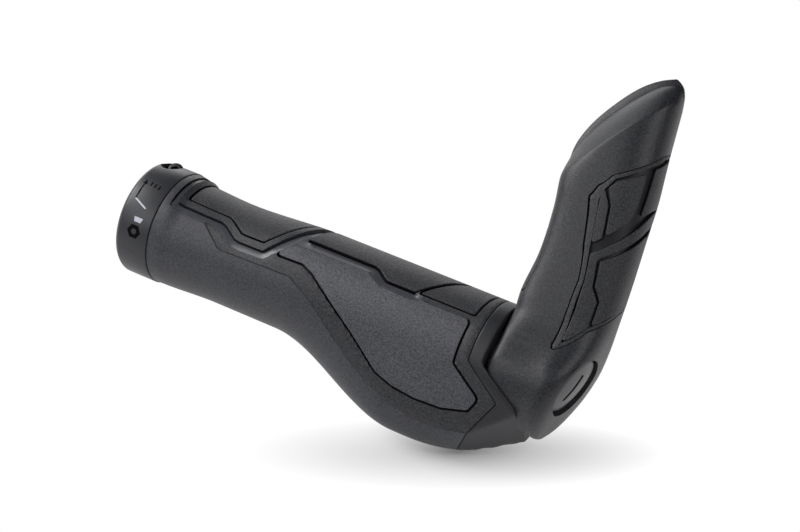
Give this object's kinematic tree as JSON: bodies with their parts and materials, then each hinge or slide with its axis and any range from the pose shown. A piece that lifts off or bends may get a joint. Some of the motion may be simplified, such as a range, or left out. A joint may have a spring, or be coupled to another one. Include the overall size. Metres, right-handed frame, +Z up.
{
  "type": "locking handlebar grip with bar end",
  "caption": "Ergonomic lock-on handlebar grip with a palm wing, an inner clamp ring and an upright ergonomic bar end that clamps separately and swivels about the bar.",
  "frame": {"origin": "on the handlebar axis, 1 mm outboard of the inner clamp's inboard face", "axes": "+X outboard along the handlebar, +Y forward, +Z up; the bar end points forward and up at 45 degrees and the palm face leans back to the rider"},
  "size_m": [0.1485, 0.0889, 0.0892],
  "materials": {
    "clamp_metal": "satin black anodised",
    "screw_steel": "glossy black oxide",
    "core_plastic": "satin moulded",
    "sleeve_rubber": "fine stipple",
    "pad_rubber": "fine stipple",
    "horn_plastic": "matte moulded",
    "disc_plastic": "satin moulded"
  },
  "bodies": {
    "grip": {"inner_clamp": "clamp_metal", "grip_core": "core_plastic", "grip_sleeve": "sleeve_rubber", "palm_pad": "pad_rubber", "inner_top_pad": "pad_rubber", "middle_top_pad": "pad_rubber", "outer_top_pad": "pad_rubber"},
    "inner_screw": {"inner_clamp_bolt": "screw_steel"},
    "horn": {"horn_core": "horn_plastic", "horn_insert": "sleeve_rubber", "horn_spine_pad": "pad_rubber", "horn_upper_pad": "pad_rubber", "horn_edge_pad": "pad_rubber", "horn_lower_pad": "pad_rubber", "horn_side_pad": "pad_rubber", "horn_finger_pad": "pad_rubber", "horn_clamp_washer": "screw_steel", "horn_clamp_nut": "screw_steel", "end_disc": "disc_plastic"},
    "horn_screw": {"horn_clamp_bolt": "screw_steel"}
  },
  "joints": [
    {"name": "horn_swivel", "type": "hinge", "parent": "grip", "child": "horn", "pos_m": [0.13, 0, 0], "axis": [1, 0, 0], "range_deg": [-20, 20]},
    {"name": "inner_screw_turn", "type": "hinge", "parent": "grip", "child": "inner_screw", "pos_m": [0.0032, 0.00965, 0.01266], "axis": [0, -0.342, 0.9397], "continuous": true},
    {"name": "horn_screw_turn", "type": "hinge", "parent": "horn", "child": "horn_screw", "pos_m": [0.134, 0.01618, -0.01246], "axis": [0, -0.0872, -0.9962], "continuous": true}
  ]
}
